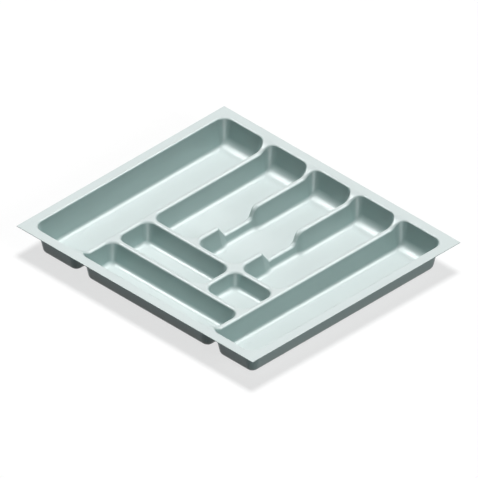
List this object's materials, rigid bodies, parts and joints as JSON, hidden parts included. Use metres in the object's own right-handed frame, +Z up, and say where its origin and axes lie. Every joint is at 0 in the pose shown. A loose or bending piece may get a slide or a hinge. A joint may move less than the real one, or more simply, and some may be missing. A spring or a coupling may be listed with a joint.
{
  "type": "cutlery tray",
  "caption": "Flat-rimmed drawer insert with long, cross and square rounded compartments, lowered dividers and finger dips for sorting cutlery.",
  "frame": {"origin": "centre of the tray's footprint, on the surface that the compartment floors stand on", "axes": "+X to the user's right across the drawer, +Y to the back of the drawer, +Z up out of the compartments"},
  "size_m": [0.54, 0.475, 0.0525],
  "materials": {
    "formed_sheet": "satin thermoformed polystyrene sheet, pale grey-green"
  },
  "bodies": {
    "root": {"rim_front_strip": "formed_sheet", "rim_back_strip": "formed_sheet", "rim_left_strip": "formed_sheet", "rim_right_strip": "formed_sheet", "long_left_compartment": "formed_sheet", "long_right_compartment": "formed_sheet", "cutlery_compartment_1": "formed_sheet", "cutlery_compartment_2": "formed_sheet", "cutlery_compartment_3": "formed_sheet", "front_cross_compartment": "formed_sheet", "second_cross_compartment": "formed_sheet", "small_square_compartment": "formed_sheet"}
  },
  "joints": []
}
